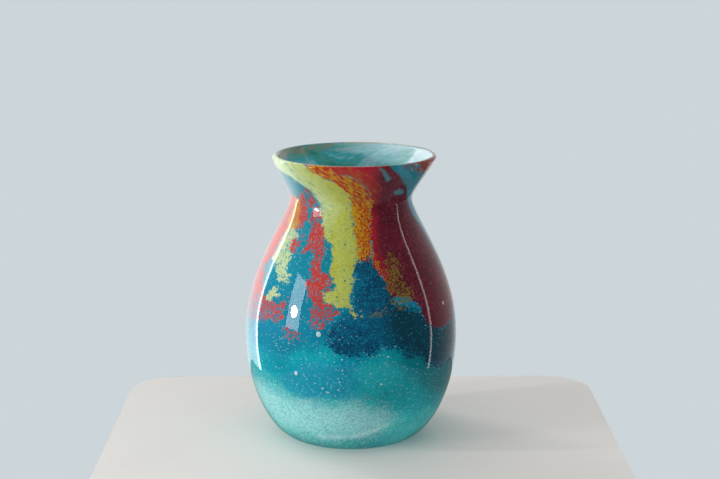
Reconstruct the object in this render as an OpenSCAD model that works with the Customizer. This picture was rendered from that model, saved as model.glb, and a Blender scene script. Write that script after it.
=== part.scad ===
// Hand-blown vase of cased art glass.
// An inner gather of turquoise glass carries a thin skin of coloured powders and frits,
// and a second, clear gather cases the colour and closes over it at the fire-polished lip.
// Every colour field is its own body of glass. All of them are fused to their neighbours.
// The vase stands on z = 0, its axis is +Z, and -Y is its front. Lengths are in millimetres.

/* [Vessel] */
// Height from the table to the top of the lip
height = 190; // [158:1:240]
// Diameter of the ground foot that meets the table
foot_d = 80; // [66:1:96]
// Greatest diameter, at the belly
belly_d = 142; // [118:1:172]
// Height of the belly's widest point
belly_z = 70; // [58:1:84]
// Diameter at the waist of the neck
neck_d = 80.6; // [67:0.2:97]
// Height of the flared collar, from the waist of the neck to the lip
collar_h = 29; // [24:0.5:36]
// Diameter across the lip
lip_d = 108; // [92:1:130]
// Lean of the collar from upright, where it ends in the lip, in degrees
flare_angle = 25; // [18:1:32]

/* [Glass layers] */
// Clear casing, its thickness in the wall
casing_t = 2.4; // [2:0.1:3]
// Skin of coloured powder and frit
colour_t = 0.8; // [0.6:0.02:1]
// Turquoise inner gather, its thickness in the wall
gather_t = 1.8; // [1.5:0.1:2.3]
// Whole wall where it ends in the round lip
lip_t = 3.6; // [3:0.1:4.4]
// Clear casing under the floor
casing_floor_t = 6; // [5:0.1:7.2]
// Inner gather over the floor
gather_floor_t = 9.2; // [7.6:0.1:11.1]
// Diameter of the flat part of the inside floor
cavity_floor_d = 40; // [33:1:48]

/* [Pontil] */
// Diameter of the ground and polished hollow where the punty was broken off
pontil_d = 34; // [28:1:41]
// Depth of that hollow
pontil_depth = 1.5; // [1.2:0.1:1.8]

/* [Hidden] */
$fn = 96;

curve_steps = 14;        // straight steps in each curve of the wall's section
lip_steps = 12;          // straight steps in the round of the lip
pontil_steps = 4;        // straight steps from the centre to the edge of the pontil hollow
heel_fullness = 0.39;    // how far the outside heel runs out flat before it turns up
cavity_fullness = 0.52;  // the same for the inside floor
heel_rise = 0.61;        // how far down from the belly the wall stays upright
shoulder_pull = 44;      // length of upright wall above the belly, as a curve handle
neck_pull = 12;          // the same below the waist of the neck
collar_pull = 5;         // the same above the waist of the neck
lip_pull = 12;           // length of straight collar below the lip, as a curve handle
cup_level = 37;          // top of the turquoise cup, in percent of the height

foot_r = foot_d / 2;
belly_r = belly_d / 2;
neck_r = neck_d / 2;
lip_r = lip_d / 2;
neck_z = height - collar_h;
wall_t = casing_t + colour_t + gather_t;
pontil_r = pontil_d / 2;

// The wall has four surfaces: 0 is the outside, 1 is under the casing, 2 is under the colour
// and 3 is the inside. These give each one's depth in the wall, and its flat floor.
depth = [0, casing_t, casing_t + colour_t, wall_t];
floor_z = [0, casing_floor_t, casing_floor_t + colour_t, casing_floor_t + colour_t + gather_floor_t];
floor_r = [foot_r, foot_r - depth[1], foot_r - depth[2], cavity_floor_d / 2];
fullness = [heel_fullness, heel_fullness, heel_fullness, cavity_fullness];

// The lip is a half round of the wall's whole thickness, leaning with the collar.
lip_centre = [lip_r - lip_t / 2, height - lip_t / 2];
lip_out = [cos(flare_angle), -sin(flare_angle)];
lip_edge = lip_centre + lip_t / 2 * lip_out;

shoulder_curve = [
    [belly_r, belly_z],
    [belly_r, belly_z + shoulder_pull],
    [neck_r, neck_z - neck_pull],
    [neck_r, neck_z],
];
collar_curve = [
    [neck_r, neck_z],
    [neck_r, neck_z + collar_pull],
    lip_edge - lip_pull * [sin(flare_angle), cos(flare_angle)],
    lip_edge,
];

function bezier(p, t) =
    pow(1 - t, 3) * p[0] + 3 * pow(1 - t, 2) * t * p[1] + 3 * (1 - t) * t * t * p[2] + pow(t, 3) * p[3];
function direction(p, t) =
    pow(1 - t, 2) * (p[1] - p[0]) + 2 * (1 - t) * t * (p[2] - p[1]) + t * t * (p[3] - p[2]);
function inward(v) = [-v.y, v.x] / norm(v);
function ease(t) = t * t * (3 - 2 * t);
function reversed(list) = [for (i = [len(list) - 1 : -1 : 0]) list[i]];
function last(list) = list[len(list) - 1];

function heel_curve(k) =
    let (wall_r = belly_r - depth[k])
    [
        [floor_r[k], floor_z[k]],
        [floor_r[k] + fullness[k] * (wall_r - floor_r[k]), floor_z[k]],
        [wall_r, belly_z - heel_rise * (belly_z - floor_z[k])],
        [wall_r, belly_z],
    ];
function heel(k) = [for (i = [0 : curve_steps]) bezier(heel_curve(k), i / curve_steps)];
function shoulder(k) = [
    for (i = [1 : curve_steps])
        let (t = i / curve_steps)
        bezier(shoulder_curve, t) + depth[k] * inward(direction(shoulder_curve, t))
];
function collar(k) = [
    for (i = [1 : curve_steps])
        let (t = i / curve_steps, thinning = 1 + ease(t) * (lip_t / wall_t - 1))
        bezier(collar_curve, t) + depth[k] * thinning * inward(direction(collar_curve, t))
];
function wall_surface(k) = concat(heel(k), shoulder(k), collar(k));

// The pontil hollow is a shallow dish, ground with a round wheel.
pontil_wheel_r = (pontil_r * pontil_r + pontil_depth * pontil_depth) / (2 * pontil_depth);
function pontil_dish() = [
    for (i = [0 : pontil_steps])
        let (r = pontil_r * i / pontil_steps)
        [r, pontil_depth - pontil_wheel_r + sqrt(pontil_wheel_r * pontil_wheel_r - r * r)]
];
function lip_round() = [
    for (i = [1 : lip_steps - 1])
        let (a = 180 * i / lip_steps - flare_angle)
        lip_centre + lip_t / 2 * [cos(a), sin(a)]
];

outside = wall_surface(0);
outside_radius = [for (p = outside) [p.y, p.x]];

// Colour fields, each laid over those below it in this list: name, the bearing that it faces,
// and its outline as [bearing, level]. Bearings are degrees round from the front, towards +X.
// Levels are percent of the height, and one over 100 runs out past the lip.
FIELDS = [
    ["lime_streak", -34, [
        [-76, 103], [-58, 95], [-46, 91], [-36, 87], [-29, 82], [-24, 75], [-18, 70], [-15, 62],
        [-17, 58], [-8, 53], [3, 51], [3, 61], [5, 67], [3, 79], [0, 88], [-14, 93], [-28, 98], [-38, 103],
    ]],
    ["olive_streak", 27, [
        [22, 66], [30, 68], [35, 64], [37, 57], [45, 50], [34, 48], [25, 53], [13, 51], [24, 57],
    ]],
    ["orange_streak", -8, [
        [-50, 103], [-24, 90], [-4, 84], [0, 66], [10, 64], [16, 68], [17, 78], [20, 86], [13, 92],
        [2, 95], [-8, 103],
    ]],
    ["red_column", -26, [
        [-41, 92], [-27, 86], [-21, 76], [-17, 70], [-12, 62], [-15, 58], [-8, 53], [-9, 47],
        [-22, 45], [-26, 54], [-29, 61], [-27, 66], [-35, 70], [-34, 76], [-41, 79], [-39, 85],
    ]],
    ["red_shoulder_patch", -60, [
        [-92, 84], [-78, 88], [-60, 91], [-50, 93], [-48, 90], [-49, 85], [-49, 77], [-55, 75], [-47, 71],
        [-54, 69], [-62, 74], [-69, 70], [-74, 66], [-94, 67],
    ]],
    ["cream_patch", -62, [
        [-72, 68], [-62, 75], [-50, 70], [-44, 62], [-52, 59], [-64, 61], [-72, 64],
    ]],
    ["red_low_band", -56, [
        [-94, 60], [-76, 59], [-62, 53], [-44, 51], [-20, 53], [-22, 46], [-40, 46], [-56, 47], [-70, 43], [-88, 45],
    ]],
    ["deep_blue_patch", 12, [
        [1, 65], [9, 68], [16, 63], [22, 57], [25, 54], [38, 50], [42, 42], [24, 38], [6, 38],
        [-10, 39], [-18, 43], [-11, 55], [0, 57],
    ]],
    ["ruby_field", 38, [
        [-12, 103], [25, 103], [31, 96], [45, 92], [61, 88], [74, 80], [78, 66], [77, 50], [72, 43],
        [56, 42], [40, 46], [28, 50], [19, 56], [12, 64], [8, 80], [4, 94],
    ]],
    ["lime_back_streak", 152, [
        [132, 103], [168, 103], [160, 88], [165, 72], [158, 55], [147, 49], [139, 60], [144, 74], [136, 88],
    ]],
    ["orange_back_streak", 172, [
        [160, 103], [190, 103], [180, 88], [184, 74], [172, 62], [158, 70], [156, 88],
    ]],
    ["ruby_back_field", 112, [
        [88, 103], [126, 103], [128, 86], [138, 68], [130, 50], [112, 43], [98, 50], [102, 68], [92, 84],
    ]],
    ["deep_blue_back_patch", 190, [
        [166, 60], [186, 64], [204, 66], [218, 55], [208, 42], [184, 38], [164, 45],
    ]],
    ["red_back_patch", 228, [
        [206, 88], [224, 95], [242, 91], [252, 78], [244, 64], [228, 57], [216, 66], [202, 76],
    ]],
];

function level_z(level) = level * height / 100;
function facing_point(point, bearing) =
    let (z = level_z(point[1]))
    [lookup(z, outside_radius) * sin(point[0] - bearing), z];
function bearing_gap(a, b) = abs((a - b + 540) % 360 - 180);
function field_number(name) = [for (i = [0 : len(FIELDS) - 1]) if (FIELDS[i][0] == name) i][0];

// The block of space that one field's outline marks out, from the axis to past the belly.
module field_block(i) {
    bearing = FIELDS[i][1];
    outline = [for (p = FIELDS[i][2]) facing_point(p, bearing)];
    rotate([0, 0, bearing])
        rotate([90, 0, 0])
            linear_extrude(height = belly_d)
                polygon(outline);
}

// The whole skin of colour between the casing and the inner gather.
module colour_skin() {
    rotate_extrude()
        polygon(concat(
            [[0, floor_z[1]]], wall_surface(1), reversed(wall_surface(2)), [[0, floor_z[2]]]
        ));
}

// One field of frit: its outline's part of the skin, less what is laid over it.
module frit_field(name) {
    i = field_number(name);
    difference() {
        intersection() {
            colour_skin();
            field_block(i);
        }
        for (j = [0 : 1 : i - 1])
            if (bearing_gap(FIELDS[i][1], FIELDS[j][1]) < 90)
                field_block(j);
    }
}

// The skin between two levels that no field of frit covers.
module powder_ground(from_z, to_z) {
    difference() {
        intersection() {
            colour_skin();
            translate([0, 0, from_z])
                cylinder(r = belly_d, h = to_z - from_z);
        }
        for (i = [0 : len(FIELDS) - 1])
            field_block(i);
    }
}

module clear_casing() {
    color("azure", 0.35)
        rotate_extrude()
            polygon(concat(
                pontil_dish(), outside, lip_round(), [last(wall_surface(3))],
                reversed(wall_surface(1)), [[0, floor_z[1]]]
            ));
}

module inner_gather() {
    color("mediumturquoise")
        rotate_extrude()
            polygon(concat(
                [[0, floor_z[2]]], wall_surface(2), reversed(wall_surface(3)), [[0, floor_z[3]]]
            ));
}

module turquoise_cup() {
    color("lightseagreen") powder_ground(0, level_z(cup_level));
}

module teal_mantle() {
    color("darkcyan") powder_ground(level_z(cup_level), height);
}

module lime_streak() {
    color("yellowgreen") frit_field("lime_streak");
}

module orange_streak() {
    color("orangered") frit_field("orange_streak");
}

module ruby_field() {
    color("darkred") frit_field("ruby_field");
}

module olive_streak() {
    color("darkolivegreen") frit_field("olive_streak");
}

module red_column() {
    color("crimson") frit_field("red_column");
}

module red_shoulder_patch() {
    color("crimson") frit_field("red_shoulder_patch");
}

module cream_patch() {
    color("khaki") frit_field("cream_patch");
}

module red_low_band() {
    color("indianred") frit_field("red_low_band");
}

module deep_blue_patch() {
    color("midnightblue") frit_field("deep_blue_patch");
}

module ruby_back_field() {
    color("darkred") frit_field("ruby_back_field");
}

module lime_back_streak() {
    color("yellowgreen") frit_field("lime_back_streak");
}

module orange_back_streak() {
    color("orangered") frit_field("orange_back_streak");
}

module deep_blue_back_patch() {
    color("midnightblue") frit_field("deep_blue_back_patch");
}

module red_back_patch() {
    color("crimson") frit_field("red_back_patch");
}

clear_casing();
inner_gather();
turquoise_cup();
teal_mantle();
lime_streak();
orange_streak();
ruby_field();
olive_streak();
red_column();
red_shoulder_patch();
cream_patch();
red_low_band();
deep_blue_patch();
ruby_back_field();
lime_back_streak();
orange_back_streak();
deep_blue_back_patch();
red_back_patch();
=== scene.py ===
# %% [markdown]
# # A hand-blown vase of cased glass
#
# The vase is one fused body of glass, but it was put together in layers. A turquoise gather was
# rolled in coloured powder and in crushed glass, which makers call frit. Then it was dipped in clear
# glass and blown. This script builds the same layers in the same order and gives each its own
# finish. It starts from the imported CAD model, which fixes every size.

# %% Load the frame
import math

import bpy
import numpy as np
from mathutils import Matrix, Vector


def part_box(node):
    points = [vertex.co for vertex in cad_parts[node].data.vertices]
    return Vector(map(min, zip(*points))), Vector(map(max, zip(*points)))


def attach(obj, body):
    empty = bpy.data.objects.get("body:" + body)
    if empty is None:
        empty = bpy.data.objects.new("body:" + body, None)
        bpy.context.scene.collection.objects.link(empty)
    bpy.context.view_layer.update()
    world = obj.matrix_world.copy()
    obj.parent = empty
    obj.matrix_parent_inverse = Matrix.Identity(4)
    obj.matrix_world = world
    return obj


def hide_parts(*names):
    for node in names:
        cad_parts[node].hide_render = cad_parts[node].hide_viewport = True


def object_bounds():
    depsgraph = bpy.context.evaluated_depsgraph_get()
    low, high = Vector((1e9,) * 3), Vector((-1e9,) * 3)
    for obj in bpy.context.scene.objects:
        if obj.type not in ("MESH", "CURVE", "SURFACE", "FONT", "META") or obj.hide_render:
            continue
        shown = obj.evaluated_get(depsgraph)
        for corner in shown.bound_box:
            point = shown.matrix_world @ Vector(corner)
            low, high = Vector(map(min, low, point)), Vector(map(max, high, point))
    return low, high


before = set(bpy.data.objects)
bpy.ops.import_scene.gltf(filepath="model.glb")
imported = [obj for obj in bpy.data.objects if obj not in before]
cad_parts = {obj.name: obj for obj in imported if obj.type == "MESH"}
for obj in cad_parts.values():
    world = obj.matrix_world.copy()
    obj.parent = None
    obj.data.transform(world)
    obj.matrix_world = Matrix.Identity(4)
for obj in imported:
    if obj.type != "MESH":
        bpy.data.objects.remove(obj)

cad_low, cad_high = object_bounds()
MM = 0.001
cad_sides = [round((high - low) / MM, 1) for low, high in zip(cad_low, cad_high)]
print("the CAD model measures", cad_sides, "mm")

# %% [markdown]
# ## The section of the wall
#
# A lathe shape needs only its section: half of the outline, from the axis outwards. The section has
# three stretches, each a Bezier curve of four points. They are the heel, from the foot up to the
# belly, the shoulder, from the belly to the waist of the neck, and the collar, from the waist to the
# lip. The height, the belly's width and the levels of the colour are read from the frame. The other
# sizes are repeated from the design, because the frame holds only its result.

# %% Sizes
HEIGHT = cad_high.z
BELLY_R = cad_high.x
BELLY_Z = 70 * MM
FOOT_R = 40 * MM
NECK_R = 40.3 * MM
NECK_Z = HEIGHT - 29 * MM
LIP_R = 54 * MM
LIP_T = 3.6 * MM
FLARE = math.radians(25)
SHOULDER_PULL = 44 * MM
NECK_PULL = 12 * MM
COLLAR_PULL = 5 * MM
LIP_PULL = 12 * MM
HEEL_FULLNESS = 0.39
CAVITY_FULLNESS = 0.52
HEEL_RISE = 0.61

CASING_T = 2.4 * MM
COLOUR_T = 0.8 * MM
WALL_T = 5 * MM
CASING_FLOOR_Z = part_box("turquoise_cup")[0].z
CAVITY_FLOOR_Z = 16 * MM
CAVITY_FLOOR_R = 20 * MM
PONTIL_R = 17 * MM
PONTIL_DEPTH = 1.5 * MM

lip_centre = Vector((LIP_R - LIP_T / 2, HEIGHT - LIP_T / 2))
lip_out = Vector((math.cos(FLARE), -math.sin(FLARE)))
lip_up = Vector((math.sin(FLARE), math.cos(FLARE)))
lip_edge = lip_centre + LIP_T / 2 * lip_out

SHOULDER = [
    Vector((BELLY_R, BELLY_Z)),
    Vector((BELLY_R, BELLY_Z + SHOULDER_PULL)),
    Vector((NECK_R, NECK_Z - NECK_PULL)),
    Vector((NECK_R, NECK_Z)),
]
COLLAR = [
    Vector((NECK_R, NECK_Z)),
    Vector((NECK_R, NECK_Z + COLLAR_PULL)),
    lip_edge - LIP_PULL * lip_up,
    lip_edge,
]


def bezier(curve, t):
    weights = ((1 - t) ** 3, 3 * (1 - t) ** 2 * t, 3 * (1 - t) * t * t, t**3)
    return sum((w * point for w, point in zip(weights, curve)), Vector((0, 0)))


def inward(curve, t):
    """The direction into the wall, square to the curve."""
    weights = ((1 - t) ** 2, 2 * (1 - t) * t, t * t)
    way = sum((w * (b - a) for w, a, b in zip(weights, curve, curve[1:])), Vector((0, 0)))
    return Vector((-way.y, way.x)).normalized()


def heel(depth, floor_z, floor_r, fullness=HEEL_FULLNESS, steps=12):
    """The heel's section, as far in from the outside as depth."""
    wall_r = BELLY_R - depth
    curve = [
        Vector((floor_r, floor_z)),
        Vector((floor_r + fullness * (wall_r - floor_r), floor_z)),
        Vector((wall_r, BELLY_Z - HEEL_RISE * (BELLY_Z - floor_z))),
        Vector((wall_r, BELLY_Z)),
    ]
    return [bezier(curve, i / steps) for i in range(steps + 1)]


def shoulder(depth, steps=12):
    ts = [i / steps for i in range(1, steps + 1)]
    return [bezier(SHOULDER, t) + depth * inward(SHOULDER, t) for t in ts]


def collar(depth, steps=8):
    """The collar's section. Its wall thins towards the lip."""
    ts = [i / steps for i in range(1, steps + 1)]
    thin = LIP_T / WALL_T - 1
    return [bezier(COLLAR, t) + depth * (1 + t * t * (3 - 2 * t) * thin) * inward(COLLAR, t) for t in ts]


def disc(edge_r, z, start=1.5 * MM, steps=5):
    """Rings of a flat floor, from near the axis out to the edge, which is left for the next stretch."""
    return [Vector((start + (edge_r - start) * i / steps, z)) for i in range(steps)]


def in_lip(out, up):
    """A point in the round of the lip, from its centre outwards and upwards along the collar."""
    return lip_centre + out * lip_out + up * lip_up


print("wall", round(WALL_T / MM, 1), "mm, floor", round(CAVITY_FLOOR_Z / MM, 1), "mm")

# %% [markdown]
# ## Growing a ring
#
# Blender could revolve the section with Spin. Extruding one ring again and again does the same and
# gives something more: each new ring can be slid a little. Blown glass is never quite true, and this
# lip sits about 2 mm to one side of the axis. So each ring is extruded, then resized, and above the
# waist it is slid a little further than the last one.

# %% The lathe
LEAN = 2.3 * MM


def rise(z):
    """0 up to the waist of the neck and 1 at the lip."""
    return max(0, (z - NECK_Z) / (HEIGHT - NECK_Z))


def ring_centre(z):
    return Vector((LEAN * rise(z), 0, z))


def deselect_all():
    if bpy.context.object and bpy.context.object.mode == "EDIT":
        bpy.ops.object.mode_set(mode="OBJECT")
    bpy.ops.object.select_all(action="DESELECT")


def make_active(piece):
    deselect_all()
    bpy.context.view_layer.objects.active = piece
    piece.select_set(True)


def lathe(name, section, sides):
    """Draws a ring at the section's first point and grows it along the section, ring by ring."""
    deselect_all()
    first = section[0]
    bpy.ops.mesh.primitive_circle_add(vertices=sides, radius=first.x, location=ring_centre(first.y))
    piece = bpy.context.object
    piece.name = piece.data.name = name
    bpy.ops.object.mode_set(mode="EDIT")
    bpy.ops.mesh.select_all(action="SELECT")
    for here, there in zip(section, section[1:]):
        centre = ring_centre(there.y)
        step = centre - ring_centre(here.y)
        size = there.x / here.x
        bpy.ops.mesh.extrude_region_move(TRANSFORM_OT_translate={"value": step})
        bpy.ops.transform.resize(value=(size, size, 1), center_override=centre)
    bpy.ops.object.mode_set(mode="OBJECT")
    return piece


def close_ends(piece, sides):
    """Caps the first ring and the last ring of a lathe shape."""
    count = len(piece.data.vertices)
    for ends in (range(sides), range(count - sides, count)):
        make_active(piece)
        bpy.ops.object.mode_set(mode="EDIT")
        bpy.ops.mesh.select_all(action="DESELECT")
        bpy.ops.object.mode_set(mode="OBJECT")
        for i in ends:
            piece.data.vertices[i].select = True
        bpy.ops.object.mode_set(mode="EDIT")
        bpy.ops.mesh.edge_face_add()
        bpy.ops.object.mode_set(mode="OBJECT")


def face_outwards(piece):
    make_active(piece)
    bpy.ops.object.mode_set(mode="EDIT")
    bpy.ops.mesh.select_all(action="SELECT")
    bpy.ops.mesh.remove_doubles(threshold=0.001 * MM)
    bpy.ops.mesh.normals_make_consistent(inside=False)
    bpy.ops.object.mode_set(mode="OBJECT")


def apply_modifier(piece, kind, **settings):
    make_active(piece)
    modifier = piece.modifiers.new(kind.lower(), kind)
    for key, value in settings.items():
        setattr(modifier, key, value)
    bpy.ops.object.modifier_apply(modifier=modifier.name)


def smooth(piece, levels=2):
    """Rounds the rings off and shades the surface smooth."""
    apply_modifier(piece, "SUBSURF", levels=levels, render_levels=levels)
    bpy.ops.object.shade_smooth()


def settle(piece):
    """Leaves the piece's object at the origin, unturned and unscaled, with its place in its mesh."""
    make_active(piece)
    bpy.ops.object.transform_apply(location=True, rotation=True, scale=True)


def show_size(piece):
    sides = [f"{side / MM:.1f}" for side in piece.dimensions]
    print(piece.name, len(piece.data.polygons), "faces,", " x ".join(sides), "mm")


# %% [markdown]
# ## The clear casing
#
# The second gather is clear. It is the thickest layer of the wall, and it closes over the colour at
# the lip. It is one closed solid. Its section starts in the middle of the pontil mark, the shallow
# dish where the vase was broken off the iron and ground smooth, and runs out over the foot, up the
# outside and round the lip. Then it turns back down along the colour to the middle of the floor. The
# inner wall is let a tenth of a millimetre into the colour, so that no film of air lies between them.

# %% Casing
SIDES = 64
LET_IN = 0.1 * MM
PONTIL_WHEEL_R = (PONTIL_R**2 + PONTIL_DEPTH**2) / (2 * PONTIL_DEPTH)


def pontil_height(r):
    return PONTIL_DEPTH - PONTIL_WHEEL_R + math.sqrt(PONTIL_WHEEL_R**2 - r * r)


dish_radii = [share * PONTIL_R for share in (0.1, 0.4, 0.7, 0.95, 1)]
dish = [Vector((r, pontil_height(r))) for r in dish_radii]
foot = [Vector((r * MM, 0)) for r in (18, 24, 32)]
lip_turns = [math.radians(turn) for turn in range(20, 180, 20)]
lip_round = [in_lip(LIP_T / 2 * math.cos(turn), LIP_T / 2 * math.sin(turn)) for turn in lip_turns]
casing_inside = (
    disc(FOOT_R - CASING_T, CASING_FLOOR_Z + LET_IN)
    + heel(CASING_T + LET_IN, CASING_FLOOR_Z + LET_IN, FOOT_R - CASING_T - LET_IN)
    + shoulder(CASING_T + LET_IN)
    + collar(CASING_T + LET_IN)
)
casing_section = (
    dish + foot + heel(0, 0, FOOT_R) + shoulder(0) + collar(0) + lip_round
    + [in_lip(-LIP_T / 2, 0)] + casing_inside[::-1]
)
casing = lathe("clear_casing_glass", casing_section, SIDES)
close_ends(casing, SIDES)
face_outwards(casing)
smooth(casing)
settle(casing)
show_size(casing)

# %% [markdown]
# ## The turquoise gather
#
# The first gather is opaque turquoise glass. It makes the inside of the vase, thin in the wall and
# thick in the floor. At the top it ends in a small dome inside the clear bead of the lip.

# %% Gather
GATHER_DEPTH = CASING_T + COLOUR_T
GATHER_FLOOR_Z = CASING_FLOOR_Z + COLOUR_T
dome = [in_lip(out * MM, up * MM) for out, up in ((-0.55, 0.7), (-0.8, 1.0), (-1.2, 0.95), (-1.55, 0.6))]
gather_outside = (
    disc(FOOT_R - GATHER_DEPTH, GATHER_FLOOR_Z)
    + heel(GATHER_DEPTH, GATHER_FLOOR_Z, FOOT_R - GATHER_DEPTH)
    + shoulder(GATHER_DEPTH)
    + collar(GATHER_DEPTH)
)
gather_inside = (
    disc(CAVITY_FLOOR_R, CAVITY_FLOOR_Z, steps=3)
    + heel(WALL_T, CAVITY_FLOOR_Z, CAVITY_FLOOR_R, CAVITY_FULLNESS)
    + shoulder(WALL_T)
    + collar(WALL_T)
)
gather = lathe("inner_gather_glass", gather_outside + dome + gather_inside[::-1], SIDES)
close_ends(gather, SIDES)
face_outwards(gather)
smooth(gather)
settle(gather)
show_size(gather)

# %% [markdown]
# ## The skin of colour
#
# The powder and frit make a skin 0.8 mm thick between the two gathers. It is grown like the others,
# as an open sheet, and then it is cut into the fields of colour along their outlines. An outline
# gives its corners as degrees round from the front, towards +X, and as millimetres up from the foot.
# For each vertex the script measures how far inside each colour it lies. That distance is kept with
# the mesh as an attribute, so that the finish can let the grains of two colours mix at the border.

# %% Skin
skin_top = [in_lip(0.02 * MM, 0.7 * MM), in_lip(-0.1 * MM, 1.15 * MM)]
skin_section = (
    disc(FOOT_R - CASING_T, CASING_FLOOR_Z)
    + heel(CASING_T, CASING_FLOOR_Z, FOOT_R - CASING_T)
    + shoulder(CASING_T)
    + collar(CASING_T)
    + skin_top
)
SKIN_SIDES = 96
skin = lathe("skin", skin_section, SKIN_SIDES)
face_outwards(skin)
smooth(skin)
settle(skin)
show_size(skin)

# %% Outlines of the fields
# Each field: the CAD node it stands for, its colour, and its outlines. A later one lies on top.
FIELDS = [
    ("deep_blue_patch", "navy", [[
        (1, 121), (2, 126), (5, 129), (12, 130), (16, 126), (20, 120), (23, 114), (25, 108), (24, 103),
        (34, 100), (42, 96), (47, 88), (56, 83), (72, 82), (78, 72), (74, 60), (64, 56), (54, 56),
        (46, 60), (38, 66), (30, 70), (24, 76), (16, 77), (10, 73), (3, 71), (-6, 73), (-13, 78),
        (-12, 86), (-7, 93), (-3, 98), (0, 103), (0, 112),
    ]]),
    ("deep_blue_back_patch", "navy", [[
        (166, 112), (180, 124), (196, 127), (212, 120), (220, 104), (210, 88), (218, 76), (200, 66),
        (180, 72), (168, 62), (160, 78), (170, 94),
    ]]),
    ("ruby_field", "ruby", [[
        (-22, 192), (-12, 187), (-4, 184), (3, 181), (10, 177), (16, 171), (19, 165), (18, 152),
        (16, 144), (15, 136), (16, 126), (21, 120), (24, 111), (27, 106), (38, 104), (43, 98), (46, 88),
        (52, 82), (76, 82), (86, 94), (86, 112), (82, 130), (76, 144), (70, 154), (66, 163), (60, 168),
        (54, 175), (46, 180), (36, 184), (28, 187), (22, 192),
    ], [(46, 192), (54, 187), (64, 184), (78, 182), (92, 186), (98, 192)]]),
    ("ruby_back_field", "ruby", [[
        (88, 192), (126, 192), (130, 170), (124, 158), (136, 132), (132, 108), (120, 84), (104, 92),
        (98, 104), (104, 128), (96, 150), (100, 166), (88, 178),
    ]]),
    ("red_low_band", "red", [[
        (-106, 116), (-90, 124), (-78, 122), (-70, 114), (-64, 104), (-55, 100), (-48, 99), (-38, 103),
        (-41, 97), (-40, 90), (-46, 88), (-57, 87), (-72, 84), (-88, 80), (-106, 86),
    ], [(-38, 87), (-31, 86), (-27, 80), (-33, 78), (-38, 82)]]),
    ("cream_patch", "cream", [[
        (-66, 134), (-62, 146), (-50, 144), (-46, 141), (-52, 137), (-53, 132), (-48, 130), (-46, 124),
        (-47, 121), (-43, 119), (-41, 115), (-46, 113), (-52, 115), (-56, 118), (-55, 121), (-62, 122),
        (-66, 124),
    ], [(-60, 101), (-56, 106), (-52, 109), (-47, 107), (-49, 103), (-54, 101)]]),
    ("red_shoulder_patch", "red", [[
        (-108, 166), (-86, 170), (-61, 164), (-55, 166), (-50, 170), (-48, 173), (-41, 173), (-37, 170),
        (-46, 169), (-48, 166), (-48, 162), (-45, 160), (-44, 155), (-44, 149), (-48, 146), (-60, 143),
        (-66, 138), (-67, 128), (-72, 118), (-84, 120), (-98, 132), (-110, 152),
    ], [(-45, 165), (-42, 169), (-37, 168), (-33, 165), (-38, 162), (-42, 160)],
        [(-53, 132), (-53, 137), (-50, 140), (-43, 137), (-43, 133), (-48, 133)],
        [(-43, 138), (-43, 143), (-40, 144), (-40, 139)]]),
    ("red_back_patch", "red", [[
        (204, 164), (222, 178), (240, 172), (248, 152), (238, 138), (246, 120), (232, 106), (218, 112),
        (222, 130), (208, 142),
    ]]),
    ("red_column", "red", [
        [(-38, 161), (-30, 160), (-28, 155), (-33, 151), (-39, 151), (-40, 156)],
        [
            (-35, 150), (-29, 151), (-24, 148), (-21, 144), (-19, 137), (-21, 130), (-20, 124),
            (-15, 120), (-12, 117), (-14, 112), (-18, 110), (-17, 106), (-10, 102), (-7, 97),
            (-12, 93), (-14, 88), (-21, 88), (-24, 95), (-22, 103), (-26, 108), (-30, 115),
            (-25, 117), (-27, 122), (-28, 130), (-26, 133), (-31, 135), (-36, 133), (-35, 140),
            (-35, 146),
        ],
    ]),
    ("olive_streak", "olive", [[
        (22, 117), (24, 126), (28, 132), (32, 131), (34, 125), (34, 118), (37, 112), (40, 107),
        (36, 102), (28, 101), (20, 101), (14, 100), (12, 98), (14, 96), (20, 99), (27, 105), (25, 110),
    ]]),
    ("orange_streak", "orange", [[
        (-40, 192), (-33, 186), (-22, 182), (-14, 179), (-11, 176), (-5, 172), (-1, 166), (0, 158),
        (1, 150), (3, 140), (3, 131), (6, 129), (12, 130), (14, 133), (17, 125), (21, 119), (18, 127),
        (15, 135), (16, 144), (18, 152), (19, 165), (16, 171), (10, 177), (3, 181), (-4, 184),
        (-12, 187), (-22, 192),
    ]]),
    ("orange_back_streak", "orange", [[
        (160, 192), (190, 192), (182, 176), (178, 160), (186, 144), (178, 124), (166, 114), (162, 132),
        (168, 150), (160, 164), (156, 178),
    ]]),
    ("lime_streak", "lime", [[
        (-100, 192), (-88, 184), (-60, 181), (-48, 177), (-40, 174), (-34, 167), (-31, 162), (-28, 156),
        (-25, 149), (-20, 141), (-15, 138), (-13, 132), (-14, 123), (-10, 117), (-10, 112), (-16, 109),
        (-14, 105), (-7, 102), (0, 100), (1, 104), (-1, 108), (1, 112), (1, 116), (4, 118), (1, 121),
        (2, 126), (5, 129), (3, 133), (3, 140), (1, 150), (0, 158), (-1, 166), (-5, 172), (-11, 176),
        (-14, 179), (-22, 182), (-33, 186), (-44, 192),
    ], [(0, 99), (5, 100), (6, 97), (2, 95)]]),
    ("lime_back_streak", "lime", [[
        (130, 192), (158, 192), (154, 176), (160, 160), (164, 144), (158, 122), (150, 104), (142, 98),
        (138, 110), (144, 126), (138, 142), (132, 158), (136, 172),
    ]]),
]
print(len(FIELDS), "fields of frit")
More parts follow.
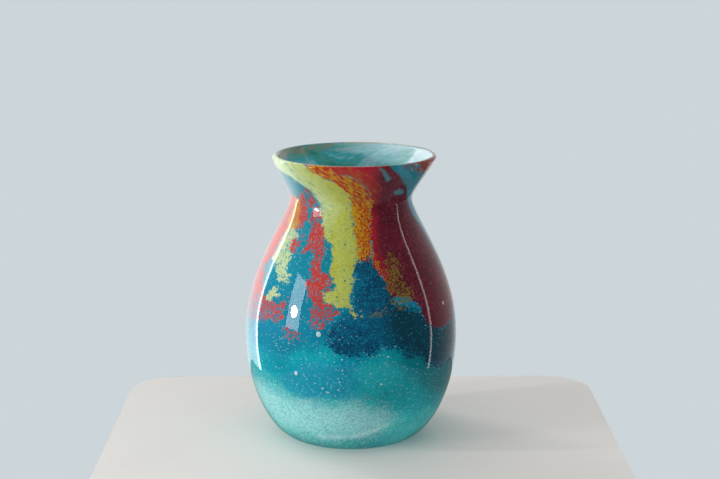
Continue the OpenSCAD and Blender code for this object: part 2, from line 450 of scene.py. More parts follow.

# %% [markdown]
# Some colours have no edge of their own: clouds of powder in the ground, changes of tone within a
# field, and painted light and shade, such as the glow low on the body and the darker tones on the side
# away from the lamps. They are only tints, so nothing is cut along them, but they are drawn in the same
# way.

# %% Outlines of the tints
TINTS = {
    "cloud": [
        [(-34, 66), (-26, 72), (-16, 76), (-6, 74), (-3, 68), (-10, 64), (-22, 62)],
        [(3, 48), (2, 60), (8, 68), (18, 74), (27, 74), (32, 68), (30, 56), (22, 48), (12, 45)],
    ],
    "lagoon": [[
        (-42, 54), (-34, 62), (-24, 65), (-12, 68), (0, 71), (3, 70), (4, 56), (2, 48), (-4, 43),
        (-14, 42), (-28, 42), (-38, 46),
    ]],
    "band": [[(-64, 70), (-64, 82), (-48, 84), (-34, 83), (-26, 78), (-31, 71), (-48, 68)]],
    # This tint is partly paler powder and partly painted glow of light passing through the foot.
    "pale": [[
        (-80, 40), (-62, 43), (-50, 44), (-42, 42), (-28, 40), (-12, 40), (4, 40), (20, 34),
        (26, 26), (16, 17), (0, 13), (-22, 12), (-45, 13), (-62, 17), (-78, 28),
    ]],
    "wisp": [[
        (-24, 14), (-8, 15), (6, 17), (20, 23), (25, 23), (18, 18), (6, 14), (-8, 12.5), (-24, 12),
    ]],
    # This tint is painted shade on the right of the lower body, away from the lamps.
    "shade": [[
        (24, 66), (30, 78), (48, 82), (80, 80), (92, 62), (90, 40), (76, 30), (58, 32), (44, 44),
        (34, 54),
    ]],
    # This tint is painted shade: it darkens the navy on the right, away from the lamps.
    "dusk": [[
        (22, 104), (30, 110), (44, 103), (58, 92), (80, 90), (86, 72), (60, 58), (42, 62),
        (26, 74), (18, 90),
    ]],
    # This tint is the bright red front of the ruby; the ruby turns maroon towards the right, and that is
    # partly its own tone and partly painted shade on the side away from the lamps.
    "crimson": [[
        (-26, 192), (24, 192), (16, 186), (15, 176), (21, 168), (22, 150), (18, 136), (24, 122),
        (24, 110),
        (18, 112), (12, 126), (8, 140), (8, 165), (0, 176), (-14, 183),
    ]],
    "cyan": [
        [(16, 189), (20, 188), (29, 181), (26, 179.5)],
        [(29, 190), (36, 188), (46, 183), (57, 175), (55, 171), (44, 176), (33, 184)],
        [(38, 171), (44, 172), (52, 170), (50, 169), (40, 169.5)],
    ],
    "ember": [
        [(22, 192), (34, 189), (46, 186), (58, 182), (72, 180), (86, 181), (98, 186), (100, 192)],
        [(-14, 190), (4, 187), (14, 181), (21, 173), (21, 164), (16, 167), (8, 175), (-4, 182)],
    ],
    "amber": [[(-68, 164), (-57, 164), (-54, 156), (-51, 149), (-53, 143), (-62, 141), (-70, 148)]],
}
print(len(TINTS), "tints")

# %% [markdown]
# The distance to an outline is the distance to its nearest side. Its sign comes from counting how
# many sides a level line crosses on its way out: an odd count means that the point is inside.
# Degrees are turned into millimetres at the point's own radius, so the distance is true on the glass.

# %% Distances


def outline_distance(degrees, heights, radii, outline):
    """How far each point lies inside an outline, in millimetres. Outside it the distance is negative."""
    corners = np.array(outline, float)
    middle = corners[:, 0].mean()
    turned = (degrees - middle + 180) % 360 - 180
    scale = radii * math.pi / 180
    nearest = np.full(len(turned), np.inf)
    inside = np.zeros(len(turned), bool)
    for (a0, z0), (a1, z1) in zip(corners, np.roll(corners, -1, axis=0)):
        ax, bx = (a0 - middle - turned) * scale, (a1 - middle - turned) * scale
        az, bz = z0 - heights, z1 - heights
        ex, ez = bx - ax, bz - az
        share = np.clip(-(ax * ex + az * ez) / np.maximum(ex * ex + ez * ez, 1e-9), 0, 1)
        nearest = np.minimum(nearest, np.hypot(ax + share * ex, az + share * ez))
        crosses = (az > 0) != (bz > 0)
        inside ^= crosses & (ax - az * ex / np.where(crosses, ez, 1) > 0)
    return np.where(inside, nearest, -nearest)


def places(points):
    """Each point's degrees round from the front, its height and its radius, in millimetres."""
    x, y, z = points.T
    x = x - LEAN * np.maximum(0, (z - NECK_Z) / (HEIGHT - NECK_Z))
    return np.degrees(np.arctan2(x, -y)), z / MM, np.hypot(x, y) / MM


def field_distance(degrees, heights, radii, outlines):
    return np.max([outline_distance(degrees, heights, radii, outline) for outline in outlines], axis=0)


print("distances ready")

# %% Measure the skin
mesh = skin.data
points = np.empty(len(mesh.vertices) * 3)
mesh.vertices.foreach_get("co", points)
vertex_places = places(points.reshape(-1, 3))
colours = {}
for _, colour, outlines in FIELDS:
    colours[colour] = colours.get(colour, []) + outlines
for colour, outlines in {**colours, **TINTS}.items():
    layer = mesh.attributes.new(colour, "FLOAT", "POINT")
    layer.data.foreach_set("value", field_distance(*vertex_places, outlines))
print("colours measured on", len(mesh.vertices), "vertices:", ", ".join(colours))

# %% [markdown]
# The fields are cut out of the sheet face by face, which leaves the ragged edge that frit has. What
# is left is the ground: a mantle of teal powder above, and a cup of turquoise powder below. Each
# cut piece is then given its thickness, inwards. The cut sides stay sharp in the shading, or a dark
# line would run round every field.

# %% Cut the fields out
CUP_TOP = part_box("turquoise_cup")[1].z / MM
centres = np.empty(len(mesh.polygons) * 3)
mesh.polygons.foreach_get("center", centres)
face_places = places(centres.reshape(-1, 3))
owner = np.where(face_places[1] < CUP_TOP, "turquoise_cup", "teal_mantle").astype(object)
for node, _, outlines in FIELDS:
    owner[field_distance(*face_places, outlines) > 0] = node
names = list(dict.fromkeys(owner))
name_number = {name: i for i, name in enumerate(names)}
tag = mesh.attributes.new("piece", "INT", "FACE")
tag.data.foreach_set("value", [name_number[name] for name in owner])


def cut_out(sheet, name):
    """Separates the faces that are tagged with this name and returns them as a piece of their own."""
    make_active(sheet)
    bpy.ops.object.mode_set(mode="EDIT")
    bpy.ops.mesh.select_mode(type="FACE")
    bpy.ops.mesh.select_all(action="DESELECT")
    bpy.ops.object.mode_set(mode="OBJECT")
    tags = np.empty(len(sheet.data.polygons), np.int32)
    sheet.data.attributes["piece"].data.foreach_get("value", tags)
    sheet.data.polygons.foreach_set("select", tags == name_number[name])
    bpy.ops.object.mode_set(mode="EDIT")
    bpy.ops.mesh.separate(type="SELECTED")
    bpy.ops.object.mode_set(mode="OBJECT")
    return next(o for o in bpy.context.selected_objects if o is not sheet)


skin_pieces = {}
for name in names[:-1]:
    skin_pieces[name] = cut_out(skin, name)
skin_pieces[names[-1]] = skin
for name, piece in skin_pieces.items():
    piece.name = piece.data.name = name + "_glass"
    apply_modifier(piece, "SOLIDIFY", thickness=COLOUR_T, offset=-1)
    bpy.ops.object.shade_smooth_by_angle(angle=math.radians(40))
    show_size(piece)

# %% [markdown]
# ## Seeds
#
# Seeds are the small bubbles that were caught between the frit and the clear gather. They lie just
# above the colour, most of them low on the body, and a few were drawn into short rows. They are one
# piece. A handful of large ones were pressed flat by the gather.

# %% Seeds
outside = heel(0, 0, FOOT_R) + shoulder(0)
heights_outside = [point.y for point in outside]
radii_outside = [point.x for point in outside]
SEED_DEPTH = 2 * MM


def seed(degrees, height, size, flat=1.0):
    """Adds one bubble to the mesh in edit mode. Height and size are in millimetres."""
    z = height * MM
    r = np.interp(z, heights_outside, radii_outside) - SEED_DEPTH
    turn = math.radians(degrees)
    bpy.ops.mesh.primitive_ico_sphere_add(
        subdivisions=2 if size > 0.5 else 1,
        radius=size * MM,
        location=(r * math.sin(turn), -r * math.cos(turn), z),
        rotation=(0, 0, turn),
        scale=(1, flat, 1.1),
    )


deselect_all()
seed(-17.5, 85, 1.7, flat=0.3)
seeds = bpy.context.object
seeds.name = seeds.data.name = "seeds"
bpy.ops.object.transform_apply(location=True, rotation=True, scale=True)
bpy.ops.object.mode_set(mode="EDIT")
for large in (
    (64, 96, 1.2, 0.3),
    (-30.5, 58, 1.4, 0.2),
    (16, 52.5, 0.7, 0.6),
    (19.5, 70.5, 0.6, 0.8),
    (10, 60, 0.4),
):
    seed(*large)
rng = np.random.default_rng(7)
# Rows and groups: how many, between which degrees, between which levels, and between which sizes.
for count, turns, levels, sizes in (
    (22, (-46, -34), (71, 80), (0.2, 0.36)),
    (10, (-9, -4), (47, 71), (0.3, 0.55)),
    (5, (-17, -6), (44, 50), (0.35, 0.6)),
    (8, (-27, -19), (50, 69), (0.25, 0.45)),
    (14, (-20, 12), (72, 92), (0.18, 0.32)),
    (16, (-40, 45), (8, 40), (0.18, 0.34)),
    (230, (-180, 180), (10, 100), (0.12, 0.26)),
    (60, (-180, 180), (100, 158), (0.12, 0.22)),
):
    for _ in range(count):
        seed(rng.uniform(*turns), rng.uniform(*levels), rng.uniform(*sizes))
bpy.ops.object.mode_set(mode="OBJECT")
bpy.ops.object.shade_smooth()
settle(seeds)
show_size(seeds)

# %% [markdown]
# ## Shader maths
#
# A finish is a net of nodes. Written out one by one they hide the idea, so a small class wraps a
# socket and lets Python's own signs add the nodes: `1 - mask` adds a Math node. Its method called
# node adds a node of any type, with its settings and what goes into its sockets.

# %% A socket that can be calculated with


class Wire:
    def __init__(self, tree, socket=None):
        self.tree = tree
        self.socket = socket

    def node(self, kind, settings=None, out=0, **inputs):
        """Adds a node. Settings come first, then a value or a link for each socket that is named."""
        node = self.tree.nodes.new("ShaderNode" + kind)
        for key, value in (settings or {}).items():
            if key == "stops":
                set_stops(node.color_ramp, value)
            else:
                setattr(node, key, value)
        for key, value in inputs.items():
            socket = find_socket(node.inputs, key)
            if isinstance(value, Wire):
                self.tree.links.new(value.socket, socket)
            else:
                socket.default_value = value
        return Wire(self.tree, find_socket(node.outputs, out))

    def maths(self, operation, *values):
        given = {f"_{i}": value for i, value in enumerate(values)}
        return self.node("Math", {"operation": operation}, **given)

    def __add__(self, other):
        return self.maths("ADD", self, other)

    def __sub__(self, other):
        return self.maths("SUBTRACT", self, other)

    def __rsub__(self, other):
        return self.maths("SUBTRACT", other, self)

    def __mul__(self, other):
        return self.maths("MULTIPLY", self, other)

    def __truediv__(self, other):
        return self.maths("DIVIDE", self, other)

    def __gt__(self, other):
        return self.maths("GREATER_THAN", self, other)

    def __neg__(self):
        return self.maths("MULTIPLY", self, -1)

    def clamp(self):
        clamped = self + 0
        clamped.socket.node.use_clamp = True
        return clamped

    def fraction(self):
        return self.maths("FRACT", self)

    def siblings(self):
        """All the outputs of the node that this socket belongs to."""
        return [Wire(self.tree, socket) for socket in self.socket.node.outputs]


def find_socket(sockets, key):
    """A socket by its number, by _number, or by its name with spaces written as underscores."""
    if isinstance(key, int):
        return sockets[key]
    if key.startswith("_"):
        return sockets[int(key[1:])]
    return next(s for s in sockets if s.enabled and s.name == key.replace("_", " "))


def set_stops(ramp, stops):
    while len(ramp.elements) < len(stops):
        ramp.elements.new(0.5)
    for element, (place, colour) in zip(ramp.elements, stops):
        element.position = place
        element.color = colour if isinstance(colour, tuple) else tone(colour)


def tone(text):
    """A colour written as on a paint chart, as the linear values that a shader needs."""
    values = [int(text[i : i + 2], 16) / 255 for i in (1, 3, 5)]
    linear = [v / 12.92 if v <= 0.04045 else ((v + 0.055) / 1.055) ** 2.4 for v in values]
    return (*linear, 1)


def mix(share, a, b):
    """Colour a where share is 0 and colour b where it is 1. Either may be a tone's name."""
    a, b = (tone(c) if isinstance(c, str) else c for c in (a, b))
    return share.node("Mix", {"data_type": "RGBA"}, out="Result", Factor=share, A=a, B=b)


def new_material(name):
    material = bpy.data.materials.new(name)
    material.use_nodes = True
    tree = material.node_tree
    tree.nodes.clear()
    return material, Wire(tree)


def finish_surface(wire, shader):
    output = wire.tree.nodes.new("ShaderNodeOutputMaterial")
    wire.tree.links.new(shader.socket, output.inputs["Surface"])


print("shader maths ready")

# %% [markdown]
# ## Clear glass
#
# The casing is real refracting glass. Light from the lamps would need a great many samples to find
# its way through it to the colour, so a shadow ray passes straight through.

# %% Clear glass


def clear_glass():
    material, wire = new_material("clear_casing_glass")
    glass = wire.node(
        "BsdfPrincipled", out="BSDF",
        Base_Color=(1, 1, 1, 1), Roughness=0.015, IOR=1.5, Transmission_Weight=1.0,
    )
    through = wire.node("BsdfTransparent", out="BSDF", Color=(0.97, 0.99, 0.99, 1))
    shadow = wire.node("LightPath", out="Is Shadow Ray")
    finish_surface(wire, wire.node("MixShader", Fac=shadow, _1=glass, _2=through))
    return material


casing.data.materials.append(clear_glass())
print("casing is refracting glass")

# %% [markdown]
# ## Powder and frit
#
# Before it was blown, the gather was a short cylinder rolled in grains. Blowing it out stretched the
# grains sideways at the belly and the lip, and the maker's twist drew them out along a slant in the
# collar. The pattern is therefore worked out on that cylinder: every point is first moved to one
# radius, and above the waist it is turned back and moved down.

# %% The cylinder that was rolled
GATHER_R = 50 * MM
TWIST = 28  # radians for each metre above the waist
DRAWN_OUT = 0.6  # the part of a height above the waist that came from stretching


def on_the_gather(wire):
    """Where a point was on the cylinder, how far round it was, and how high it is now."""
    here = wire.node("TexCoord", out="Object")
    x, y, z = here.node("SeparateXYZ", Vector=here).siblings()
    above = wire.maths("MAXIMUM", z - NECK_Z, 0)
    x = x - above * (LEAN / (HEIGHT - NECK_Z))
    turn = wire.maths("ARCTAN2", x, -y) + above * TWIST
    across = wire.maths("SINE", turn) * GATHER_R
    deep = wire.maths("COSINE", turn) * -GATHER_R
    return wire.node("CombineXYZ", X=across, Y=deep, Z=z - above * DRAWN_OUT), turn, z


print("the collar is twisted by", round(math.degrees(TWIST * (HEIGHT - NECK_Z))), "degrees")

# %% [markdown]
# A Voronoi texture divides the glass into cells about 0.7 mm wide, and each cell is a grain with
# random numbers of its own. A grain takes a field's colour where its number is lower than the field's
# share there, so a border breaks up grain by grain. Noise moves the measured distances up and down
# first, so that the outline wanders and frays. Powder is too fine to show its grains, so it shades
# off instead.

# %% Grains
GRAINS_PER_METRE = 1500.0


class Grains:
    """The grains of the skin, and ways of choosing among them."""

    def __init__(self, wire):
        self.wire = wire
        self.place, self.turn, self.z = on_the_gather(wire)
        cells = wire.node("TexVoronoi", out="Color", Vector=self.place, Scale=GRAINS_PER_METRE)
        self.numbers = self.split(cells)
        self.wanders = self.split(self.noise(110.0, 2.0, "Color"))
        self.tears = self.split(self.noise(330.0, 3.0, "Color"))
        self.cloud = self.noise(55.0, 3.0)
        self.mottle = self.noise(400.0)

    def noise(self, scale, detail=2.0, out="Fac"):
        return self.wire.node("TexNoise", out=out, Vector=self.place, Scale=scale, Detail=detail)

    def split(self, colour):
        return colour.node("SeparateColor", Color=colour).siblings()

    def luck(self, number):
        """A random number for each grain, of which there are as many kinds as there are numbers."""
        first, second = self.numbers[number % 3], self.numbers[(number + 1) % 3]
        return (first * 7.31 + second * 3.17 + 0.37 * number).fraction()

    def inside(self, name, number, reach, torn=0.0):
        """The distance inside a field in millimetres. Reach makes the outline wander, torn frays it."""
        distance = self.wire.node("Attribute", {"attribute_name": name}, out="Fac")
        wandered = distance + (self.wanders[number % 3] - 0.5) * (3 * reach)
        return wandered + (self.tears[number % 3] - 0.5) * (3 * torn) if torn else wandered

    def frit(self, name, number, reach=1.5, torn=1.5, soft=0.7, most=1.0):
        """1 for a grain of this colour and 0 for another, at random where the two meet."""
        share = (self.inside(name, number, reach, torn) / (2 * soft) + 0.5).clamp() * most
        return share > self.luck(number)

    def powder(self, name, number, reach=4.0, soft=4.0):
        """From 0 outside to 1 inside, with only a little of the grain in it."""
        shade = self.inside(name, number, reach) / (2 * soft) + 0.5
        return (shade + (self.luck(number) - 0.5) * 0.5).clamp()

    def dots(self, scale, share, radius):
        """Small round specks. Share is how many cells have one, radius is a part of a cell."""
        cell = self.wire.node("TexVoronoi", out="Distance", Vector=self.place, Scale=scale)
        chance = self.split(Wire(cell.tree, cell.socket.node.outputs["Color"]))[0]
        return (chance > 1 - share) * (radius - cell > 0)

    def flecked(self, a, b, c, number, fleck=0.14):
        """A colour that wanders between a and b, with single grains of c in it."""
        wander = (self.cloud - 0.5) * 2.4 + (self.mottle - 0.5) * 1.6 + self.luck(number + 1) * 0.7
        blend = (wander + 0.15).clamp()
        return mix((self.luck(number + 2) > 1 - fleck) * 0.85, mix(blend, a, b), c)


print("grains are about", round(1000 / GRAINS_PER_METRE, 2), "mm wide")

# %% [markdown]
# The ground is powder. Its colour changes with height, from pale aqua at the foot through turquoise
# to the grey teal of the collar. The pale aqua low down, and the pale patch low on the front, are
# partly the powder's own colour and partly painted glow of light that passes through the thick foot.
# Clouds of paler and deeper powder lie on it, with painted shade on the right of the lower body among
# them, and then the specks.

# %% Ground
# The pale tones at the foot are partly painted glow.
GROUND = [
    (0.0, "#58c4c2"), (0.045, "#50c4be"), (0.09, "#58cec8"), (0.17, "#1cbcbc"), (0.25, "#00aeb4"),
    (0.35, "#00a8ba"), (0.42, "#008ba8"), (0.52, "#0082a0"), (0.62, "#0489a2"), (0.84, "#1a8fa6"),
    (0.97, "#2f8c9c"),
]


def ground_powder(grains):
    level = (grains.z / MM + (grains.wanders[0] - 0.5) * 12) / (HEIGHT / MM)
    ground = grains.wire.node("ValToRGB", {"stops": GROUND}, out="Color", Fac=level)
    ground = mix(((grains.cloud - 0.5) * 3.5 + 0.4).clamp() * 0.55, ground, "#008198")
    # Pale patch low on the front: partly paler powder, partly painted glow of light through the foot.
    ground = mix(grains.powder("pale", 0, soft=7.0) * 0.8, ground, "#b0e6e4")
    ground = mix(grains.powder("cloud", 1) * 0.7, ground, "#10c0c6")
    ground = mix(grains.powder("lagoon", 2, soft=3.0) * 0.85, ground, "#009cb8")
    ground = mix(grains.powder("band", 0, reach=2, soft=2) * 0.7, ground, "#00809e")
    # Painted shade: the right of the lower body, away from the lamps, is darkened.
    ground = mix(grains.powder("shade", 1, soft=7.0) * 0.85, ground, "#007078")
    ground = mix(grains.powder("wisp", 2, reach=0.8, soft=1.5) * 0.5, ground, "#e4f8f6")
    dark_grains = (grains.luck(5) * 1.1 + grains.mottle * 0.8 - 0.75).clamp()
    ground = mix(dark_grains * 0.55, ground, "#04707f")
    ground = mix((grains.luck(6) > 0.955) * 0.3, ground, "#b0d8da")
    return mix(grains.dots(430.0, 0.1, 0.13) * 0.6, ground, "#cdeaea")


print("ground runs through", len(GROUND), "tones")

# %% [markdown]
# Each frit is two near tones with flecks of a third, because a maker's frit is never one colour. The
# orange turns yellow on the side that meets the lime, and the lime pales on the left and towards the
# lip. The paling towards the lip, and the brightness of the pale lime, are partly painted light: the
# collar faces down, away from the lamps, and is lifted so. Side is the sine of the angle round the vase,
# so it has no jump at the back, where the angle itself has one.

# %% Colours of the frit


def frit_colours(grains):
    side = grains.wire.maths("SINE", grains.turn)
    navy = grains.flecked("#046688", "#084264", "#0a8aa4", 1, 0.12)
    ruby = grains.flecked("#6e2034", "#561a26", "#8c3c4c", 2, 0.09)
    red = grains.flecked("#c83c34", "#b44440", "#8a8e90", 0, 0.16)
    amber = grains.flecked("#c8902a", "#c05a28", "#b8a040", 1, 0.3)
    scarlet = grains.flecked("#b8341f", "#aa2a22", "#c8641e", 0, 0.3)
    yellow = grains.flecked("#c09c18", "#c8a428", "#a89a20", 1)
    yellow_share = grains.wire.maths("MAXIMUM", 0.96 - side * 3.0, 0.36)
    lime = grains.flecked("#bac66e", "#bcbb46", "#9ca85c", 1)
    # Pale lime, made lighter than the frit to lift the collar out of its shade: partly painted light.
    pale_lime_and_painted_light = grains.flecked("#d2dcae", "#c6d49c", "#98c0ac", 2, 0.25)
    # Painted light: the paling grows with height above 160 mm, up the collar.
    paleness_and_painted_light = (side * -2.2 - 0.2 + (grains.cloud - 0.5) + (grains.z / MM - 160) / 40).clamp()
    lime = mix(paleness_and_painted_light, lime, pale_lime_and_painted_light)
    lime = mix(grains.dots(300.0, 0.25, 0.2) * 0.8, lime, "#1f7a70")
    brown_grains = ((grains.luck(8) - 0.6) * 2).clamp() * ((grains.mottle - 0.45) * 5).clamp()
    return {
        # Painted shade darkens the navy on the right.
        "navy": mix(grains.powder("dusk", 1, soft=6.0) * 0.8, navy, "#0a3742"),
        # Bright red on the front, maroon to the right: partly the frit's own tone, partly painted shade
        # away from the lamps.
        "ruby": mix(grains.powder("crimson", 0), ruby, "#b82636"),
        "ember": grains.flecked("#b8562a", "#8e3a2c", "#8a7a3a", 1, 0.3),
        "red": mix(grains.powder("amber", 2, soft=1.5), red, amber),
        "cream": grains.flecked("#bccaa0", "#c6cc88", "#4aa0a8", 1, 0.25),
        "olive": grains.flecked("#8a6a2a", "#7f7a2c", "#8a2f20", 2, 0.2),
        "orange": mix(yellow_share > grains.luck(7), scarlet, yellow),
        "lime": mix(brown_grains * 0.5, lime, "#6f7a3c"),
    }


print("frit colours ready")

# %% [markdown]
# Now the fields go on, from the lowest to the highest. Each has its own way of ending: reach says how
# far the outline wanders, torn how much it frays, soft how wide the mixed border is, and most how
# closely its grains lie. The red thins out towards the belly. At the foot the powder has a painted
# glow: it gives off a little light of its own, in place of the light that comes in through the glass
# above and finds its way out at the foot.

# %% Finish of the skin
# The height up to which the foot's painted glow reaches.
PAINTED_GLOW_HEIGHT = 48 * MM


def frit_glass():
    material, wire = new_material("frit_under_glass")
    grains = Grains(wire)
    red_share = wire.maths("MINIMUM", (grains.z / MM - 66) / 50, 0.93)
    borders = {
        "navy": dict(number=0, reach=2.5, torn=2, soft=2.6, most=0.97),
        "ruby": dict(number=1, reach=2, torn=2),
        "ember": dict(number=0, torn=3, soft=2.5, most=0.6),
        "red": dict(number=2, torn=3.8, soft=1.4, most=red_share),
        "cream": dict(number=3, torn=3.5, soft=1.4, most=0.9),
        "olive": dict(number=4, torn=4, soft=2.4, most=0.5),
        "orange": dict(number=5, reach=1.2, torn=1.5, soft=1.4),
        "lime": dict(number=6, reach=1.2, torn=2.4, soft=1.1, most=0.985),
    }
    tones = frit_colours(grains)
    colour = ground_powder(grains)
    for name, border in borders.items():
        colour = mix(grains.frit(name, **border), colour, tones[name])
    colour = mix(grains.powder("cyan", 1, reach=1.2, soft=0.8) * 0.75, colour, "#3f98a6")
    # Painted glow: up to that height the powder gives off its own colour as light, strongest at the
    # foot.
    painted_foot_glow = mix((grains.z / PAINTED_GLOW_HEIGHT).clamp(), colour, (0, 0, 0, 1))
    glass = wire.node(
        "BsdfPrincipled", out="BSDF", Base_Color=colour, Roughness=0.55, Specular_IOR_Level=0.1,
        Emission_Color=painted_foot_glow, Emission_Strength=0.4,
    )
    finish_surface(wire, glass)
    return material


frit = frit_glass()
for piece in skin_pieces.values():
    piece.data.materials.append(frit)
print("frit on", len(skin_pieces), "pieces")

# %% [markdown]
# ## The inside
#
# The gather shows inside the mouth, with air on it, so it is glossy. Its turquoise is drawn out in
# swirls, with green and milky threads, from the first turns on the iron, and it is milkier along the
# rim. It is also paler towards the right, where the inner wall faces the lamps, and at the far left:
# that is painted light. A little rust colour from the frit shows at the lip on the left.

# %% Gather glass


def gather_glass():
    material, wire = new_material("turquoise_gather_glass")
    place, _, z = on_the_gather(wire)
    here = wire.node("TexCoord", out="Object")
    x = here.node("SeparateXYZ", Vector=here).siblings()[0]
    stretched = wire.node("Mapping", Vector=place, Scale=(0.7, 0.7, 4.0))
    drawn = wire.node("TexNoise", out="Fac", Vector=stretched, Scale=24.0, Detail=4.0, Distortion=1.4)
    fine = wire.node("TexNoise", out="Fac", Vector=stretched, Scale=330.0, Detail=3.0)
    near_rim = ((z - 182 * MM) / (8 * MM)).clamp()
    # Painted light: the inside is paler at the far left, and paler towards the right through the x term
    # in the next line.
    painted_light_far_left = (-x / (12 * MM) - 3).clamp()
    milk_and_painted_light = (x / (55 * MM) + painted_light_far_left * 1.5 + drawn * 2.6 + fine * 0.6 + near_rim * 0.5 - 1.6).clamp()
    at_lip = ((z - 183 * MM) / (4 * MM)).clamp()
    rust = at_lip * (0.4 - x / (60 * MM)).clamp() * (fine * 6 - 2.6).clamp()
    turquoise = wire.node("ValToRGB", {"stops": [
        (0.34, "#188c84"), (0.44, "#52a296"), (0.50, "#2fa4ac"), (0.58, "#6fb8bc"), (0.70, "#a4d0d0"),
    ]}, out="Color", Fac=drawn * 0.8 + fine * 0.2)
    colour = mix(milk_and_painted_light * 0.9, turquoise, "#bccfd6")
    colour = mix(rust * 0.7, colour, "#a8744c")
    glass = wire.node("BsdfPrincipled", out="BSDF", Base_Color=colour, Roughness=0.18, IOR=1.5)
    finish_surface(wire, glass)
    return material


gather.data.materials.append(gather_glass())
print("gather is glossy turquoise")

# %% [markdown]
# A seed is air in glass, and it mirrors light from all round. At this size it is only a silvery dot,
# so a pale finish, half matt, does what real refraction would do.

# %% Seed finish


def seed_glass():
    material, wire = new_material("seed_bubbles")
    tint = wire.node("TexNoise", out="Fac", Vector=wire.node("TexCoord", out="Object"), Scale=300.0)
    colour = mix(tint, "#a9d4da", "#dcf0f0")
    finish_surface(wire, wire.node("BsdfPrincipled", out="BSDF", Base_Color=colour, Roughness=0.3))
    return material


seeds.data.materials.append(seed_glass())
print("seeds are silvery")

# %% [markdown]
# ## Fixing the pieces to the frame
#
# Nothing in a vase moves, so every piece rides on the one body and stands for the CAD node of its
# own name.

# %% Ride and replace
made = {"clear_casing": casing, "inner_gather": gather, **skin_pieces}
for node, piece in made.items():
    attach(piece, "root")
    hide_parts(node)
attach(seeds, "root")
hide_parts("clear_casing")
print(len(made) + 1, "pieces stand for", len(made), "nodes")

# %% [markdown]
# ## The table
#
# A pale table top with round corners. Only its four upright edges are bevelled, so they are picked by
# their height. It is part of the stage and not of the vase. The vase would mirror the whole top and
# lose its colour, so the paint is darker for a ray that comes from a mirror.

# %% Table
TABLE_SIZE = Vector((340, 369, 20)) * MM
TABLE_MIDDLE = Vector((7, -65.5, -10)) * MM
TABLE_CORNER_R = 32 * MM
deselect_all()
bpy.ops.mesh.primitive_cube_add(size=1, location=TABLE_MIDDLE, scale=TABLE_SIZE)
table = bpy.context.object
table.name = "table_top"
bpy.ops.object.transform_apply(location=True, rotation=True, scale=True)
make_active(table)
bpy.ops.object.mode_set(mode="EDIT")
bpy.ops.mesh.select_mode(type="EDGE")
bpy.ops.mesh.select_all(action="DESELECT")
bpy.ops.object.mode_set(mode="OBJECT")
corners = table.data.vertices
for edge in table.data.edges:
    ends = [corners[i].co for i in edge.vertices]
    edge.select = abs(ends[0].z - ends[1].z) > TABLE_SIZE.z / 2
bpy.ops.object.mode_set(mode="EDIT")
bpy.ops.mesh.bevel(offset=TABLE_CORNER_R, segments=12)
bpy.ops.object.mode_set(mode="OBJECT")

surface, wire = new_material("table_paint")
grey = wire.node("TexNoise", out="Fac", Scale=6.0, Detail=3.0)
paint = mix(grey, "#e3ddd8", "#e9e4df")
seen_in_glass = wire.node("LightPath", out="Is Glossy Ray")
paint = mix(seen_in_glass * 0.7, paint, "#303436")
finish_surface(wire, wire.node("BsdfPrincipled", out="BSDF", Base_Color=paint, Roughness=0.6))
table.data.materials.append(surface)
show_size(table)

# %% [markdown]
# ## The lamps
#
# The key is a small, low lamp on the left, which casts the long shadow. Its own mirror image would
# fall in the wrong place, so it is hidden from mirrored rays, and a second lamp near it makes the
# glint. The window round the glint is large and dim. Two soft lamps, overhead and in front, fill the
# shadows and aren't mirrored either.

# %% Lamps


def towards(degrees, elevation, distance):
    """A place this far from the vase, at degrees round from the front and elevation above the table."""
    a, e = math.radians(degrees), math.radians(elevation)
    return Vector((math.sin(a) * math.cos(e), -math.cos(a) * math.cos(e), math.sin(e))) * distance


def lamp(name, place, size, watts, colour=(1, 1, 1), mirrored=True, shape="RECTANGLE"):
    data = bpy.data.lights.new(name, "AREA")
    data.shape = shape
    data.size, data.size_y = size
    data.energy = watts
    data.color = colour
    light = bpy.data.objects.new(name, data)
    light.location = place
    light.rotation_euler = (VASE_MIDDLE - place).to_track_quat("-Z", "Y").to_euler()
    bpy.context.scene.collection.objects.link(light)
    light.visible_camera = False
    light.visible_glossy = mirrored
    light.visible_transmission = False


VASE_MIDDLE = Vector((0, 0, 90 * MM))
lamp("key", towards(-80, 15, 2), (0.07, 0.07), 13, (1, 0.97, 0.93), mirrored=False)
lamp("glint", towards(-66, 12, 2), (0.3, 0.22), 9, (1, 0.98, 0.95), shape="ELLIPSE")
lamp("window", towards(-66, 15, 2), (0.56, 0.9), 8, (0.86, 0.94, 1))
lamp("overhead", towards(-20, 78, 1.5), (0.9, 0.9), 1.5, mirrored=False)
lamp("card", towards(40, 4, 1.3), (0.9, 0.9), 6, mirrored=False)
print(len(bpy.data.lights), "lamps")

# %% [markdown]
# ## The surround
#
# Glass shows its shape by what it mirrors, so the surround is brighter in some directions than in
# others. A pale wall behind and to the left makes the broad band down the left side, with a bright
# line at its edge. A narrow bright strip on the right makes the thin line there, and the dim room in
# front leaves the colour clear. The ramp goes once round: 0 is behind, 0.25 on the left, 0.5 in front
# and 0.75 on the right. What the camera sees directly is a plain pale wall, and light that has
# already met something matt is given an even fill.

# %% Surround
world = bpy.data.worlds.new("room")
bpy.context.scene.world = world
world.use_nodes = True
world.node_tree.nodes.clear()
room = Wire(world.node_tree)
look = room.node("TexCoord", out="Generated")
across, deep, up = look.node("SeparateXYZ", Vector=look).siblings()
bearing = room.maths("ARCTAN2", across, -deep) / (2 * math.pi) + 0.5


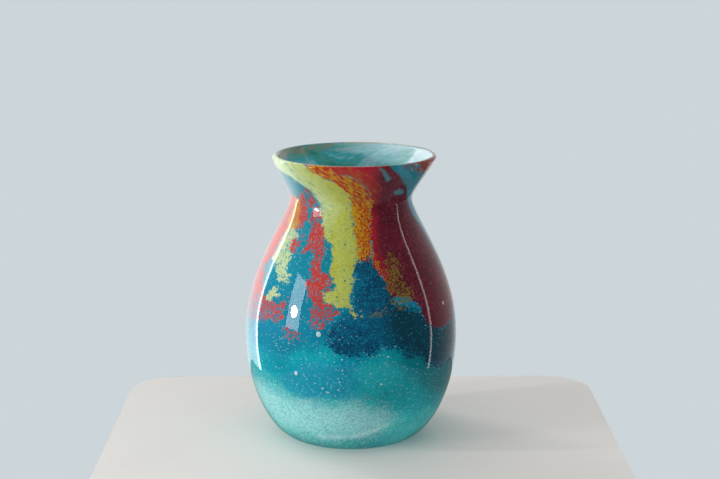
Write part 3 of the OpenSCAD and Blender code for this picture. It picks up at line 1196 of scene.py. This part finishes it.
def around(*stops):
    """A grey that changes with the bearing, from pairs of bearing and brightness."""
    greys = [(place, (value, value, value, 1)) for place, value in stops]
    return room.node("ValToRGB", {"stops": greys}, out="Color", Fac=bearing)


walls = around(
    (0.0, 0.08), (0.06, 0.12), (0.12, 0.19), (0.148, 0.28), (0.151, 0.8), (0.16, 0.8), (0.162, 0.008),
    (0.5, 0.004), (0.7, 0.004), (0.761, 0.006), (0.763, 0.45), (0.767, 0.45), (0.769, 0.01),
    (0.85, 0.035), (1.0, 0.09),
)
floor = around((0.0, 0.05), (0.06, 0.16), (0.13, 0.14), (0.2, 0.008), (0.85, 0.006), (1.0, 0.03))
FLOOR_BELOW = -0.4
mirrored = room.node("Background", Color=mix(up > FLOOR_BELOW, floor, walls), Strength=10.0)
fill = room.node("Background", Color=tone("#e6ebee"), Strength=0.58)
backdrop = room.node("Background", Color=tone("#ccd5d9"), Strength=1.0)
after_matt = room.node("LightPath", out="Diffuse Depth") > 0
from_camera = room.node("LightPath", out="Is Camera Ray")
lit = room.node("MixShader", Fac=after_matt, _1=mirrored, _2=fill)
shown = room.node("MixShader", Fac=from_camera, _1=lit, _2=backdrop)
output = world.node_tree.nodes.new("ShaderNodeOutputWorld")
world.node_tree.links.new(shown.socket, output.inputs["Surface"])
print("surround ready")

# %% [markdown]
# ## The camera
#
# It stands about a metre in front of the vase and looks down a little, so that the mouth shows as a
# shallow ellipse. The Standard view keeps the colours as they are mixed.

# %% Camera
LOOKS_DOWN = 12.155
LOOKS_RIGHT = 0.345
camera_data = bpy.data.cameras.new("camera")
camera_data.lens = 75
camera_data.sensor_width = 36
camera = bpy.data.objects.new("camera", camera_data)
camera.location = (0, -0.976, 0.3424)
camera.rotation_euler = (math.radians(90 - LOOKS_DOWN), 0, math.radians(-LOOKS_RIGHT))
bpy.context.scene.collection.objects.link(camera)
bpy.context.scene.camera = camera
bpy.context.scene.view_settings.view_transform = "Standard"
print("camera", round(camera.location.length, 2), "m from the foot")
